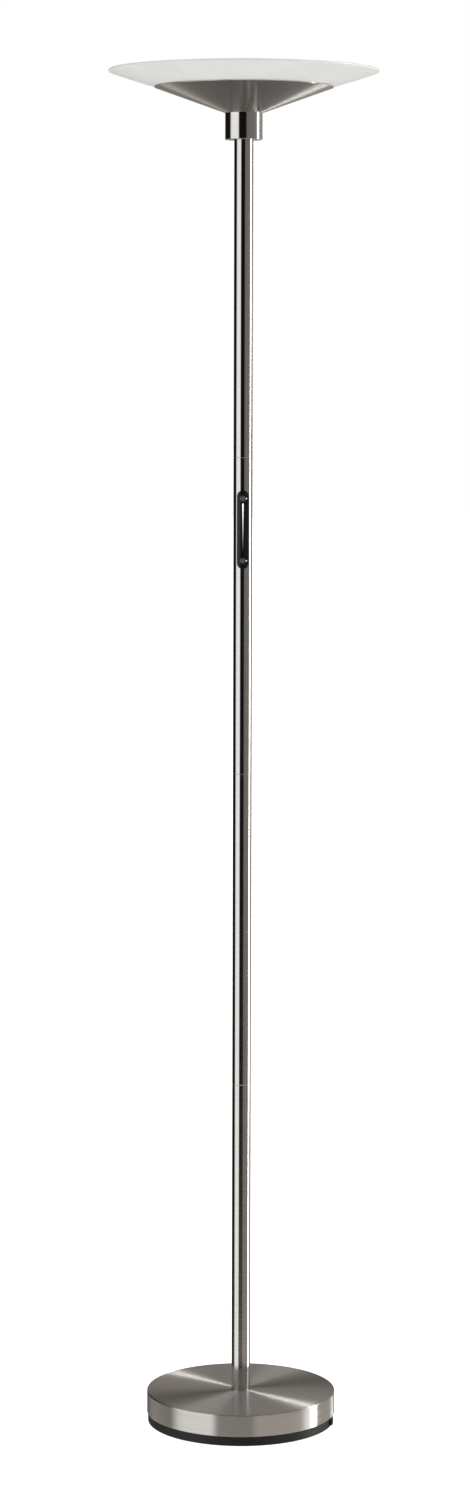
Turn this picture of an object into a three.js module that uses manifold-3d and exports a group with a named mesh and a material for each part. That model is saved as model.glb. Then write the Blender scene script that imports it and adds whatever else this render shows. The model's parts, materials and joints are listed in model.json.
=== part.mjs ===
// A torchiere floor lamp: a weighted round base, a pole of four screwed tubes with a touch
// dimmer let into one of them, and a shallow metal cone that carries an LED module and a
// loose opal dish. Millimetres, +Z up. The origin is on the floor, on the pole's axis, and
// the touch dimmer faces -Y.
import * as THREE from "three";
import { mergeVertices } from "three/addons/utils/BufferGeometryUtils.js";
import Module from "manifold-3d";

const wasm = await Module();
wasm.setup();

// ---- Roundness: sides of a full circle ----
const LARGE_SIDES = 48; // base, cone, dish and the other wide pieces
const TUBE_SIDES = 24; // pole tubes and the collar
const SMALL_SIDES = 12; // bushes, nipples, screws and pads
const LEAD_SIDES = 8;

// ---- Fits ----
const RADIAL_FIT = 0.3; // gap on the radius between a piece and the one around it
const INLAY_FIT = 0.15; // gap round the touch lens in its window

// ---- Base ----
const COVER_RADIUS = 126.5;
const COVER_SHEET = 1.0;
const COVER_EDGE = 1.5; // radius of the rounded top edge
const BASE_HEIGHT = 43;
const PAN_BAND = 12.7; // height of the pan that shows below the cover
const PAN_OVERLAP = 7; // how far the pan's wall goes up inside the cover
const PAN_WALL = 2.5;
const PAD_COUNT = 5;
const PAD_RADIUS = 9;
const PAD_HEIGHT = 0.8;
const WEIGHT_HEIGHT = 14;
const WEIGHT_MARGIN = 3; // from the cover's inner wall to the weight
const PAN_SCREWS = 3;
const BOSS_RADIUS = 6;
const BOSS_INSET = 6; // from the pan's inner wall to a boss
const SCREW_ENGAGEMENT = 9; // length of a pan screw inside the weight
const INLET_RADIUS = 3.8; // outside of the cord inlet bushing
const INLET_BORE = 2.7;
const INLET_FLANGE = 0.9; // how much wider the flange is than the body
const INLET_PROUD = 2.6; // thickness of the flange outside the wall
const INLET_DEPTH = 8; // length of the bushing inside the wall
const INLET_ANGLE = (-16 * Math.PI) / 180; // from +X, towards the front

// ---- Driver in the base ----
const DRIVER_LENGTH = 96;
const DRIVER_WIDTH = 38;
const DRIVER_HEIGHT = 15;
const DRIVER_LUG = 9; // length of the fixing lug at each end
const DRIVER_LUG_HEIGHT = 2;

// ---- Lamp pipe: the thread that holds base, pole and head together ----
const PIPE_RADIUS = 5;
const PIPE_BORE = 3.5;
const NUT_FLATS = 17; // across the flats
const NUT_HEIGHT = 6;
const WASHER_RADIUS = 14;
const WASHER_HEIGHT = 1.5;
const LOCK_RADIUS = 8.5;
const LOCK_HEIGHT = 1.6;
const PIPE_TAIL = 2; // pipe that shows past a nut

// ---- Pole ----
const TUBE_COUNT = 4;
const TUBE_LENGTH = 418;
const TUBE_RADIUS = 12.5;
const TUBE_WALL = 1.0;
const BUSH_LENGTH = 18;
const NIPPLE_SEAT = 18; // part of a nipple held in the lower tube
const NIPPLE_THREAD = 13; // part that screws into the upper tube's bush
const NIPPLE_WALL = 4.5; // of the threaded part
const BUSH_WALL = 2.4; // of the bush around it

// ---- Touch dimmer ----
const DIMMER_TUBE = 2; // index of the tube that it is let into, from the bottom
const LENS_CENTRE = 323.6; // above that tube's lower end
const LENS_LENGTH = 103;
const LENS_WIDTH = 15.4;
const LENS_PROUD = 0.2; // how far the lens stands out of the tube
const LENS_THICKNESS = 2.1;
const CARRIER_DEPTH = 4.2;
const BOARD_THICKNESS = 1.6;
const ICON_SPAN = 81.8; // from the upper symbol to the lower one
const INDICATOR_SIDE = 4.6; // indicator's distance to the side of a symbol
const INDICATOR_RADIUS = 0.8;
const PLUG_SIZE = 7; // a lead's plug on the board

// ---- Head ----
const SOCKET_DEPTH = 5.5; // how far the pole goes into the collar
const COLLAR_RADIUS = 24.4;
const COLLAR_HEIGHT = 34.5;
const COLLAR_WALL = 2;
const COLLAR_WEB = 3.3; // plate over the socket
const CONE_RADIUS = 116.8;
const CONE_RISE = 33;
const CONE_SHEET = 1.0;
const CONE_FILLET = 5; // curve where the cone leaves the collar
const SPACER_RADIUS = 9;
const PLATE_RADIUS = 66;
const PLATE_THICKNESS = 3;
const PLATE_ABOVE_COLLAR = 18; // underside of the heat plate above the collar's top
const GASKET_HEIGHT = 1;
const GASKET_WIDTH = 6;
const DISH_HOLE = 59;
const DISH_FLANGE = 8; // width of the flat ring round the dish's hole
const DISH_RADIUS = 176.5;
const DISH_THICKNESS = 3;
const DISH_SLOPE = 0.315; // rise for each millimetre outwards, from the cone's rim to the dish's
const DISH_LIFT = 1.35; // of the dish's lower face above the cone's rim
const LED_BOARD_RADIUS = 50;
const LED_BOARD_HOLE = 15;
const LED_SCREWS = 3;
const DIFFUSER_RADIUS = 57;
const DIFFUSER_HEIGHT = 21;
const DIFFUSER_WALL = 2;
const DIFFUSER_SKIRT = 5; // height of the upright part of its wall
const SNAP_WIDTH = 8;
const SNAP_THICKNESS = 1.6;
const SNAP_BARB = 1;

// ---- Leads ----
const LEAD_RADIUS = 1.8;
const LEAD_BEND = 9; // radius of a lead's bends
const LEAD_STEP = 150; // longest step along a straight stretch

// ---- Screws ----
const SMALL_SCREW = { head: 3, headHeight: 2, shank: 1.5 };
const PAN_SCREW = { head: 4, headHeight: 2.2, shank: 2 };

// ---- Heights and radii that follow from the above ----
const panBottom = PAD_HEIGHT;
const panFloor = panBottom + PAN_WALL;
const skirtBottom = PAD_HEIGHT + PAN_BAND;
const panRadius = COVER_RADIUS - COVER_SHEET - RADIAL_FIT;
const panInner = panRadius - PAN_WALL;
const panTop = skirtBottom + PAN_OVERLAP;
const weightTop = BASE_HEIGHT - COVER_SHEET;
const weightBottom = weightTop - WEIGHT_HEIGHT;
const weightRadius = COVER_RADIUS - COVER_SHEET - WEIGHT_MARGIN;
const bossCircle = panInner - BOSS_INSET - BOSS_RADIUS;
const inletHeight = panFloor + INLET_RADIUS + RADIAL_FIT;
const pipeHole = PIPE_RADIUS + RADIAL_FIT;

const tubeInner = TUBE_RADIUS - TUBE_WALL;
const bushRadius = tubeInner - RADIAL_FIT / 2;
const threadRadius = bushRadius - BUSH_WALL - RADIAL_FIT;
const nippleBore = threadRadius - NIPPLE_WALL;
const poleTop = BASE_HEIGHT + TUBE_COUNT * TUBE_LENGTH;

const lensCentre = BASE_HEIGHT + DIMMER_TUBE * TUBE_LENGTH + LENS_CENTRE;
const lensOuter = TUBE_RADIUS + LENS_PROUD;
const lensInner = lensOuter - LENS_THICKNESS;
const carrierRadius = lensInner - INLAY_FIT;
const carrierBack = carrierRadius - CARRIER_DEPTH; // distance of its flat back from the axis
const carrierLength = LENS_LENGTH - LENS_WIDTH / 4;

const collarBottom = poleTop - SOCKET_DEPTH;
const collarTop = collarBottom + COLLAR_HEIGHT;
const coneRim = collarTop + CONE_RISE;
const plateBottom = collarTop + PLATE_ABOVE_COLLAR;
const plateTop = plateBottom + PLATE_THICKNESS;
const dishBottom = plateTop + GASKET_HEIGHT;
const dishFlangeRadius = DISH_HOLE + DISH_FLANGE;
const dishAtCone = coneRim + DISH_LIFT;
const dishTip = dishAtCone + DISH_SLOPE * (DISH_RADIUS - CONE_RADIUS);
const ledTop = plateTop + BOARD_THICKNESS;

// ---- Materials ----
const finish = (name, color, roughness, metalness) =>
  new THREE.MeshStandardMaterial({ name, color, roughness, metalness });
const brushedNickel = finish("brushed_nickel", 0x9c968e, 0.32, 1);
const castIron = finish("cast_iron", 0x4a4a4c, 0.8, 0.9);
const zincSteel = finish("zinc_steel", 0xb4b6b8, 0.4, 1);
const aluminium = finish("aluminium", 0xc4c6c8, 0.45, 1);
const blackPlastic = finish("black_plastic", 0x1b1b1c, 0.6, 0);
const glossBlack = finish("gloss_black", 0x0c0c0e, 0.12, 0);
const rubber = finish("rubber", 0x232323, 0.9, 0);
const opal = finish("opal_acrylic", 0xf1f2ef, 0.35, 0);
const whitePlastic = finish("white_plastic", 0xe9e9e6, 0.5, 0);
const circuitBoard = finish("circuit_board", 0x1d5a38, 0.5, 0);
const whiteBoard = finish("white_board", 0xeeeeea, 0.5, 0);
const leadSheath = finish("lead_sheath", 0x2a2a2a, 0.55, 0);
const indicatorLens = finish("indicator", 0xf6f8fa, 0.3, 0);

// ---- Geometry helpers ----

// A closed profile of [radius, height] points, given anticlockwise, turned about the Z axis.
function turned(profile, sides) {
  const points = profile.map(([r, z]) => new THREE.Vector2(r, z));
  const closes = profile[0][0] > 0;
  if (closes) points.push(points[0].clone());
  return new THREE.LatheGeometry(points, sides).rotateX(Math.PI / 2);
}

// A ring with a square section.
function ring(outer, inner, bottom, top, sides) {
  return turned([[inner, bottom], [outer, bottom], [outer, top], [inner, top]], sides);
}

// A round bar along +Z.
function bar(radius, bottom, top, sides) {
  return turned([[0, bottom], [radius, bottom], [radius, top], [0, top]], sides);
}

// A block with its centre at a point.
function block(width, depth, height, x, y, z) {
  return new THREE.BoxGeometry(width, depth, height).translate(x, y, z);
}

function toSolid(geometry) {
  const bare = geometry.clone().deleteAttribute("normal").deleteAttribute("uv");
  const merged = mergeVertices(bare, 1e-4);
  return new wasm.Manifold(
    new wasm.Mesh({
      numProp: 3,
      vertProperties: merged.attributes.position.array,
      triVerts: new Uint32Array(merged.index.array),
    }),
  );
}

function toGeometry(solid) {
  const mesh = solid.getMesh();
  return new THREE.BufferGeometry()
    .setAttribute("position", new THREE.BufferAttribute(mesh.vertProperties, 3))
    .setIndex(new THREE.BufferAttribute(mesh.triVerts, 1));
}

// body with each of cuts taken away.
function cut(body, ...cuts) {
  return toGeometry(cuts.reduce((left, tool) => left.subtract(toSolid(tool)), toSolid(body)));
}

// body with each of others joined on.
function join(body, ...others) {
  return toGeometry(others.reduce((sum, other) => sum.add(toSolid(other)), toSolid(body)));
}

// A point on a circle about the axis.
function onCircle(radius, angle) {
  return [radius * Math.cos(angle), radius * Math.sin(angle)];
}

// count angles, evenly spaced, the first at start.
function angles(count, start = 0) {
  return Array.from({ length: count }, (_, i) => start + (2 * Math.PI * i) / count);
}

// Points of an arc about (r, z), from angle a to angle b, for a turned profile.
function arc(r, z, radius, a, b, steps) {
  return Array.from({ length: steps + 1 }, (_, i) => {
    const angle = a + ((b - a) * i) / steps;
    return [r + radius * Math.cos(angle), z + radius * Math.sin(angle)];
  });
}

// An upright capsule, seen from the front and extruded from the axis towards -Y.
function capsule(length, width, depth) {
  const straight = (length - width) / 2;
  const outline = new THREE.Shape();
  outline.moveTo(-width / 2, -straight);
  outline.absarc(0, straight, width / 2, Math.PI, 0, true);
  outline.absarc(0, -straight, width / 2, 0, -Math.PI, true);
  return new THREE.ExtrudeGeometry(outline, { depth, bevelEnabled: false, curveSegments: 10 })
    .rotateX(Math.PI / 2);
}

// A route through fixed points: each step of an extrusion along it ends on one of them.
class Route extends THREE.Curve {
  constructor(points) {
    super();
    this.points = points;
  }
  getPoint(t, target = new THREE.Vector3()) {
    const place = t * (this.points.length - 1);
    const i = Math.min(Math.floor(place), this.points.length - 2);
    return target.lerpVectors(this.points[i], this.points[i + 1], place - i);
  }
  getUtoTmapping(u) {
    return u;
  }
}

// A round lead along a route of corner points, each bend starting at most bend from it.
function lead(corners, bend = LEAD_BEND) {
  const at = corners.map((p) => new THREE.Vector3(...p));
  const points = [at[0]];
  for (let i = 1; i < at.length; i++) {
    const last = i === at.length - 1;
    const back = at[i - 1].clone().sub(at[i]);
    const on = last ? back.clone().negate() : at[i + 1].clone().sub(at[i]);
    const reach = last ? 0 : Math.min(bend, back.length() * 0.45, on.length() * 0.45);
    const enter = at[i].clone().addScaledVector(back.normalize(), reach);
    const from = points[points.length - 1];
    const steps = Math.ceil(from.distanceTo(enter) / LEAD_STEP);
    for (let k = 1; k <= steps; k++) points.push(from.clone().lerp(enter, k / steps));
    if (last) break;
    const leave = at[i].clone().addScaledVector(on.normalize(), reach);
    const curve = new THREE.QuadraticBezierCurve3(enter, at[i], leave);
    points.push(...curve.getPoints(5).slice(1));
  }
  const section = new THREE.Shape();
  section.absarc(0, 0, LEAD_RADIUS, 0, 2 * Math.PI);
  return new THREE.ExtrudeGeometry(section, {
    extrudePath: new Route(points),
    steps: points.length - 1,
    curveSegments: LEAD_SIDES / 2,
  });
}

// A screw with a flat-topped round head and a crossed recess, its head's seat at z 0, its
// shank down along -Z.
function screw({ head, headHeight, shank }, length) {
  const slotWidth = head * 0.3;
  const slotDepth = headHeight * 0.6;
  const slotZ = headHeight - slotDepth / 2 + 0.5;
  const body = turned(
    [[0, -length], [shank, -length], [shank, 0], [head, 0], [head, headHeight * 0.7],
     [head * 0.8, headHeight], [0, headHeight]],
    SMALL_SIDES,
  );
  return cut(
    body,
    block(head * 1.2, slotWidth, slotDepth + 1, 0, 0, slotZ),
    block(slotWidth, head * 1.2, slotDepth + 1, 0, 0, slotZ),
  );
}

// A hexagon nut on the lamp pipe.
function hexNut(bottom) {
  const outline = new THREE.Shape(
    angles(6).map((a) => new THREE.Vector2(...onCircle(NUT_FLATS / Math.sqrt(3), a))),
  );
  const hole = new THREE.Path();
  hole.absarc(0, 0, PIPE_RADIUS + RADIAL_FIT / 2, 0, 2 * Math.PI, true);
  outline.holes.push(hole);
  return new THREE.ExtrudeGeometry(outline, {
    depth: NUT_HEIGHT, bevelEnabled: false, curveSegments: SMALL_SIDES / 2,
  }).translate(0, 0, bottom);
}

// The hollow threaded pipe.
function lampPipe(bottom, top) {
  return ring(PIPE_RADIUS, PIPE_BORE, bottom, top, SMALL_SIDES);
}

// ---- Base ----

// Pressed cover: a flat top, a rounded edge and an upright skirt, one sheet thick.
function coverGeometry() {
  const edgeAt = COVER_RADIUS - COVER_EDGE;
  const inner = COVER_EDGE - COVER_SHEET;
  return turned(
    [
      [pipeHole, weightTop],
      ...arc(edgeAt, BASE_HEIGHT - COVER_EDGE, inner, Math.PI / 2, 0, 2),
      [COVER_RADIUS - COVER_SHEET, skirtBottom],
      [COVER_RADIUS, skirtBottom],
      ...arc(edgeAt, BASE_HEIGHT - COVER_EDGE, COVER_EDGE, 0, Math.PI / 2, 4),
      [pipeHole, BASE_HEIGHT],
    ],
    LARGE_SIDES,
  );
}

// Cast disc under the cover, with a tapped hole for each pan screw.
function weightGeometry() {
  const chamfer = 2;
  const disc = turned(
    [
      [pipeHole, weightBottom], [weightRadius - chamfer, weightBottom],
      [weightRadius, weightBottom + chamfer], [weightRadius, weightTop - chamfer],
      [weightRadius - chamfer, weightTop], [pipeHole, weightTop],
    ],
    LARGE_SIDES,
  );
  const holes = bossPlaces().map(([x, y]) =>
    bar(PAN_SCREW.shank + RADIAL_FIT, weightBottom - 1, weightBottom + SCREW_ENGAGEMENT + 1,
      SMALL_SIDES).translate(x, y, 0));
  return cut(disc, ...holes);
}

function bossPlaces() {
  return angles(PAN_SCREWS, Math.PI / 2).map((a) => onCircle(bossCircle, a));
}

// Moulded tray that closes the base, with a boss for each screw and a hole for the cord inlet.
function panGeometry() {
  const tray = turned(
    [
      [0, panBottom], [panRadius - 1, panBottom], [panRadius, panBottom + 1],
      [panRadius, panTop], [panInner, panTop], [panInner, panFloor], [0, panFloor],
    ],
    LARGE_SIDES,
  );
  const places = bossPlaces();
  const bosses = places.map(([x, y]) =>
    bar(BOSS_RADIUS, panBottom + 0.5, weightBottom, SMALL_SIDES).translate(x, y, 0));
  const screwHoles = places.map(([x, y]) =>
    bar(PAN_SCREW.shank + RADIAL_FIT, panBottom - 1, weightBottom + 1, SMALL_SIDES)
      .translate(x, y, 0));
  const headHoles = places.map(([x, y]) =>
    bar(PAN_SCREW.head + RADIAL_FIT, panBottom - 1, panBottom + PAN_SCREW.headHeight + 0.5,
      SMALL_SIDES).translate(x, y, 0));
  const inletHole = bar(INLET_RADIUS + RADIAL_FIT / 2, 0, PAN_WALL * 4, SMALL_SIDES)
    .rotateY(Math.PI / 2).translate(panRadius - PAN_WALL * 2, 0, inletHeight)
    .rotateZ(INLET_ANGLE);
  return cut(join(tray, ...bosses), ...screwHoles, ...headHoles, inletHole);
}

function padGeometry([x, y]) {
  return bar(PAD_RADIUS, 0, PAD_HEIGHT, SMALL_SIDES).translate(x, y, 0);
}

// A pan screw, head down in the underside of its boss.
function panScrewGeometry([x, y]) {
  const seat = panBottom + PAN_SCREW.headHeight + 0.5;
  return screw(PAN_SCREW, weightBottom + SCREW_ENGAGEMENT - seat)
    .rotateX(Math.PI).translate(x, y, seat);
}

// Bushing in the pan's wall for the supply cord: a flange outside, a sleeve inside.
function inletGeometry() {
  const flange = INLET_RADIUS + INLET_FLANGE;
  const outside = PAN_WALL / 2; // clears the pan's wall where its round side falls away
  return turned(
    [
      [INLET_BORE, -INLET_DEPTH], [INLET_RADIUS, -INLET_DEPTH], [INLET_RADIUS, outside - 1],
      [flange, outside - 1], [flange, outside - 1 + INLET_PROUD],
      [INLET_BORE, outside - 1 + INLET_PROUD],
    ],
    SMALL_SIDES,
  ).rotateY(Math.PI / 2).translate(panRadius, 0, inletHeight).rotateZ(INLET_ANGLE);
}

const driverY = -(bossCircle * 0.28 + DRIVER_WIDTH / 2 + WASHER_RADIUS / 2);

// Sealed LED driver with a fixing lug at each end.
function driverGeometry() {
  const base = block(DRIVER_LENGTH + 2 * DRIVER_LUG, DRIVER_WIDTH * 0.4, DRIVER_LUG_HEIGHT,
    0, driverY, panFloor + DRIVER_LUG_HEIGHT / 2);
  const can = block(DRIVER_LENGTH, DRIVER_WIDTH, DRIVER_HEIGHT, 0, driverY,
    panFloor + DRIVER_HEIGHT / 2);
  const holes = driverScrewPlaces().map(([x, y]) =>
    bar(SMALL_SCREW.shank + RADIAL_FIT, panFloor - 1, panFloor + DRIVER_LUG_HEIGHT + 1,
      SMALL_SIDES).translate(x, y, 0));
  return cut(join(base, can), ...holes);
}

function driverScrewPlaces() {
  const x = (DRIVER_LENGTH + DRIVER_LUG) / 2;
  return [[-x, driverY], [x, driverY]];
}

function driverScrewGeometry([x, y]) {
  return screw(SMALL_SCREW, DRIVER_LUG_HEIGHT - RADIAL_FIT)
    .translate(x, y, panFloor + DRIVER_LUG_HEIGHT);
}

// Split spring washer.
function lockWasherGeometry(bottom) {
  const slit = block(LOCK_RADIUS, 1, LOCK_HEIGHT * 3, LOCK_RADIUS * 0.8, 0, bottom);
  const whole = ring(LOCK_RADIUS, PIPE_RADIUS + RADIAL_FIT, bottom, bottom + LOCK_HEIGHT,
    SMALL_SIDES);
  return cut(whole, slit);
}

const baseNutBottom = weightBottom - WASHER_HEIGHT - LOCK_HEIGHT - NUT_HEIGHT;
const basePipeBottom = baseNutBottom - PIPE_TAIL;

// ---- Pole ----

// Tube number i, from the bottom.
function tubeGeometry(i) {
  const bottom = BASE_HEIGHT + i * TUBE_LENGTH;
  const tube = ring(TUBE_RADIUS, tubeInner, bottom, bottom + TUBE_LENGTH, TUBE_SIDES);
  if (i !== DIMMER_TUBE) return tube;
  const window = capsule(LENS_LENGTH + 2 * INLAY_FIT, LENS_WIDTH + 2 * INLAY_FIT,
    TUBE_RADIUS * 2).translate(0, 0, lensCentre);
  return cut(tube, window);
}

// Plain bush with the lamp pipe's thread, flush with one end of a tube.
function pipeBushGeometry(bottom) {
  return ring(bushRadius, pipeHole, bottom, bottom + BUSH_LENGTH, SMALL_SIDES * 2);
}

// Stepped nipple held in the top of tube i: its threaded end stands out of the tube.
function nippleGeometry(i) {
  const end = BASE_HEIGHT + (i + 1) * TUBE_LENGTH - RADIAL_FIT;
  return turned(
    [
      [nippleBore, end - NIPPLE_SEAT], [bushRadius, end - NIPPLE_SEAT], [bushRadius, end],
      [threadRadius, end], [threadRadius, end + NIPPLE_THREAD - 1],
      [threadRadius - 1, end + NIPPLE_THREAD], [nippleBore, end + NIPPLE_THREAD],
    ],
    SMALL_SIDES * 2,
  );
}

// Threaded bush in the bottom of the tube above joint i.
function jointBushGeometry(i) {
  const bottom = BASE_HEIGHT + (i + 1) * TUBE_LENGTH;
  return ring(bushRadius, threadRadius + RADIAL_FIT, bottom, bottom + BUSH_LENGTH,
    SMALL_SIDES * 2);
}

// ---- Touch dimmer ----

// Places of the two indicators, beside the upper and the lower symbol.
const indicatorPlaces = [1, -1].map((side) => lensCentre + (side * ICON_SPAN) / 2);

// A round bore from the axis to the front at an indicator.
function indicatorBore(radius, z) {
  return bar(radius, 0, TUBE_RADIUS * 2, SMALL_SIDES)
    .rotateX(Math.PI / 2).translate(INDICATOR_SIDE, 0, z);
}

// Curved lens, let into the tube's window and a little proud of it.
function lensGeometry() {
  const half = LENS_LENGTH / 2;
  const shell = ring(lensOuter, lensInner, lensCentre - half - 1, lensCentre + half + 1,
    TUBE_SIDES * 2);
  const outline = capsule(LENS_LENGTH, LENS_WIDTH, TUBE_RADIUS * 2).translate(0, 0, lensCentre);
  const front = toSolid(shell).intersect(toSolid(outline));
  return cut(toGeometry(front), ...indicatorPlaces.map((z) =>
    indicatorBore(INDICATOR_RADIUS + INLAY_FIT, z)));
}

// D-shaped bar behind the lens, to which the board is fixed.
function carrierGeometry() {
  const half = carrierLength / 2;
  const round = bar(carrierRadius, lensCentre - half, lensCentre + half, TUBE_SIDES);
  const rear = block(TUBE_RADIUS * 2, TUBE_RADIUS * 2, carrierLength + 2, 0,
    TUBE_RADIUS - carrierBack, lensCentre);
  return cut(round, rear, ...indicatorPlaces.map((z) =>
    indicatorBore(INDICATOR_RADIUS + INLAY_FIT, z)));
}

const boardBack = carrierBack - INLAY_FIT - BOARD_THICKNESS; // distance from the axis

function touchBoardGeometry() {
  const reach = carrierBack - INLAY_FIT;
  const width = 2 * Math.sqrt(tubeInner ** 2 - reach ** 2) - 4 * RADIAL_FIT;
  return block(width, BOARD_THICKNESS, carrierLength, 0, -(boardBack + BOARD_THICKNESS / 2),
    lensCentre);
}

// Light guide from the board to the front of the lens.
function indicatorGeometry(z) {
  const front = Math.sqrt(lensOuter ** 2 - INDICATOR_SIDE ** 2);
  const back = carrierBack;
  return bar(INDICATOR_RADIUS, back, front, SMALL_SIDES)
    .rotateX(Math.PI / 2).translate(INDICATOR_SIDE, 0, z);
}

// Distance of a plug's middle from the board's middle height, and from the axis.
const plugOffset = carrierLength / 2 - PLUG_SIZE;
const plugY = -(boardBack - INLAY_FIT - PLUG_SIZE * 0.35);

function plugGeometry(side) {
  return block(PLUG_SIZE, PLUG_SIZE * 0.7, PLUG_SIZE, 0, plugY,
    lensCentre + side * plugOffset);
}

// ---- Head ----

// Turned collar: a socket for the pole below, a web for the pipe, hollow above.
function collarGeometry() {
  const socket = TUBE_RADIUS + RADIAL_FIT;
  const webBottom = poleTop;
  const webTop = poleTop + COLLAR_WEB;
  const inner = COLLAR_RADIUS - COLLAR_WALL;
  const chamfer = 0.6;
  return turned(
    [
      [socket, collarBottom], [COLLAR_RADIUS - chamfer, collarBottom],
      [COLLAR_RADIUS, collarBottom + chamfer], [COLLAR_RADIUS, collarTop],
      [inner, collarTop], [inner, webTop], [pipeHole, webTop], [pipeHole, webBottom],
      [socket, webBottom],
    ],
    TUBE_SIDES,
  );
}

// Spun cone: a flat floor clamped on the collar, a small curve, then a straight flank.
function coneGeometry() {
  const slope = Math.atan2(CONE_RISE, CONE_RADIUS - COLLAR_RADIUS);
  const turn = CONE_FILLET * Math.tan(slope / 2); // length that the curve takes on each side
  const start = COLLAR_RADIUS - turn;
  const under = arc(start, collarTop + CONE_FILLET, CONE_FILLET, -Math.PI / 2,
    slope - Math.PI / 2, 3);
  const over = arc(start, collarTop + CONE_FILLET, CONE_FILLET - CONE_SHEET,
    slope - Math.PI / 2, -Math.PI / 2, 3);
  const [tipR, tipZ] = [-Math.sin(slope) * CONE_SHEET, Math.cos(slope) * CONE_SHEET];
  return turned(
    [
      [pipeHole, collarTop], ...under, [CONE_RADIUS, coneRim],
      [CONE_RADIUS + tipR, coneRim + tipZ], ...over, [pipeHole, collarTop + CONE_SHEET],
    ],
    LARGE_SIDES,
  );
}

// Lower face of the dish: height and slope at a radius. It is a parabola that leaves the
// flange's edge, passes just over the cone's rim and ends at the dish's own rim.
function dishFace(radius) {
  const out = radius - dishFlangeRadius;
  const mid = CONE_RADIUS - dishFlangeRadius;
  const full = DISH_RADIUS - dishFlangeRadius;
  const [riseMid, riseFull] = [dishAtCone - dishBottom, dishTip - dishBottom];
  const bend = (riseFull / full - riseMid / mid) / (full - mid);
  const lean = riseMid / mid - bend * mid;
  return { height: dishBottom + lean * out + bend * out ** 2, slope: lean + 2 * bend * out };
}

// Opal dish: a flat ring round the centre hole, then a shallow bowl of one thickness.
function dishGeometry() {
  const steps = 6;
  const lower = [];
  const upper = [];
  for (let i = 0; i <= steps; i++) {
    const radius = dishFlangeRadius + ((DISH_RADIUS - dishFlangeRadius) * i) / steps;
    const { height, slope } = dishFace(radius);
    const length = Math.hypot(1, slope);
    lower.push([radius, height]);
    upper.push([radius - (slope / length) * DISH_THICKNESS, height + DISH_THICKNESS / length]);
  }
  return turned(
    [[DISH_HOLE, dishBottom], ...lower, ...upper.reverse(),
     [DISH_HOLE, dishBottom + DISH_THICKNESS]],
    LARGE_SIDES,
  );
}

const snapCircle = DIFFUSER_RADIUS - DIFFUSER_WALL / 2;

// Holes round the axis for the LED board's screws.
function ledScrewPlaces() {
  return angles(LED_SCREWS, Math.PI / 2).map((a) => onCircle(LED_BOARD_RADIUS * 0.8, a));
}

// Aluminium plate that carries the LED board, with a slot for each of the diffuser's hooks.
function plateGeometry() {
  const disc = ring(PLATE_RADIUS, pipeHole, plateBottom, plateTop, LARGE_SIDES);
  const slots = angles(LED_SCREWS, Math.PI / 6).map((a) =>
    block(SNAP_THICKNESS + 2 * SNAP_BARB + 2 * RADIAL_FIT, SNAP_WIDTH + 2 * RADIAL_FIT,
      PLATE_THICKNESS * 3, snapCircle, 0, plateTop).rotateZ(a));
  const holes = ledScrewPlaces().map(([x, y]) =>
    bar(SMALL_SCREW.shank + RADIAL_FIT, plateBottom - 1, plateTop + 1, SMALL_SIDES)
      .translate(x, y, 0));
  return cut(disc, ...slots, ...holes);
}

function ledBoardGeometry() {
  const disc = ring(LED_BOARD_RADIUS, LED_BOARD_HOLE, plateTop, ledTop, LARGE_SIDES);
  const holes = ledScrewPlaces().map(([x, y]) =>
    bar(SMALL_SCREW.shank + RADIAL_FIT, plateTop - 1, ledTop + 1, SMALL_SIDES)
      .translate(x, y, 0));
  return cut(disc, ...holes);
}

function ledScrewGeometry([x, y]) {
  return screw(SMALL_SCREW, PLATE_THICKNESS + BOARD_THICKNESS - RADIAL_FIT)
    .translate(x, y, ledTop);
}

// Frosted cap over the LEDs, held by hooks that snap under the plate.
function diffuserGeometry() {
  const inner = DIFFUSER_RADIUS - DIFFUSER_WALL;
  const dome = (radius, rise, start) =>
    Array.from({ length: 6 }, (_, i) => {
      const a = (Math.PI / 2) * (i / 5);
      return [radius * Math.cos(a), start + rise * Math.sin(a)];
    });
  const rise = DIFFUSER_HEIGHT - DIFFUSER_SKIRT;
  const start = plateTop + DIFFUSER_SKIRT;
  const outside = dome(DIFFUSER_RADIUS, rise, start);
  const inside = dome(inner, rise - DIFFUSER_WALL, start);
  outside[5][0] = 0;
  inside[5][0] = 0;
  const cap = turned([...inside.reverse(), [inner, plateTop], [DIFFUSER_RADIUS, plateTop],
    ...outside], LARGE_SIDES);
  const drop = PLATE_THICKNESS + RADIAL_FIT;
  const hooks = angles(LED_SCREWS, Math.PI / 6).flatMap((a) => [
    block(SNAP_THICKNESS, SNAP_WIDTH, drop + DIFFUSER_SKIRT, snapCircle, 0,
      plateTop + (DIFFUSER_SKIRT - drop) / 2).rotateZ(a),
    block(SNAP_THICKNESS + SNAP_BARB, SNAP_WIDTH, SNAP_BARB, snapCircle + SNAP_BARB / 2, 0,
      plateTop - drop - SNAP_BARB / 2).rotateZ(a),
  ]);
  return join(cap, ...hooks);
}

const headNutBottom = plateTop + WASHER_HEIGHT;
const ledPlugRadius = (LED_BOARD_HOLE + LED_BOARD_RADIUS * 0.8) / 2;

function ledPlugGeometry() {
  return block(PLUG_SIZE, PLUG_SIZE, PLUG_SIZE * 0.6, ledPlugRadius, 0,
    ledTop + PLUG_SIZE * 0.3);
}

// ---- Leads, each from face to face of what it joins ----

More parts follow.
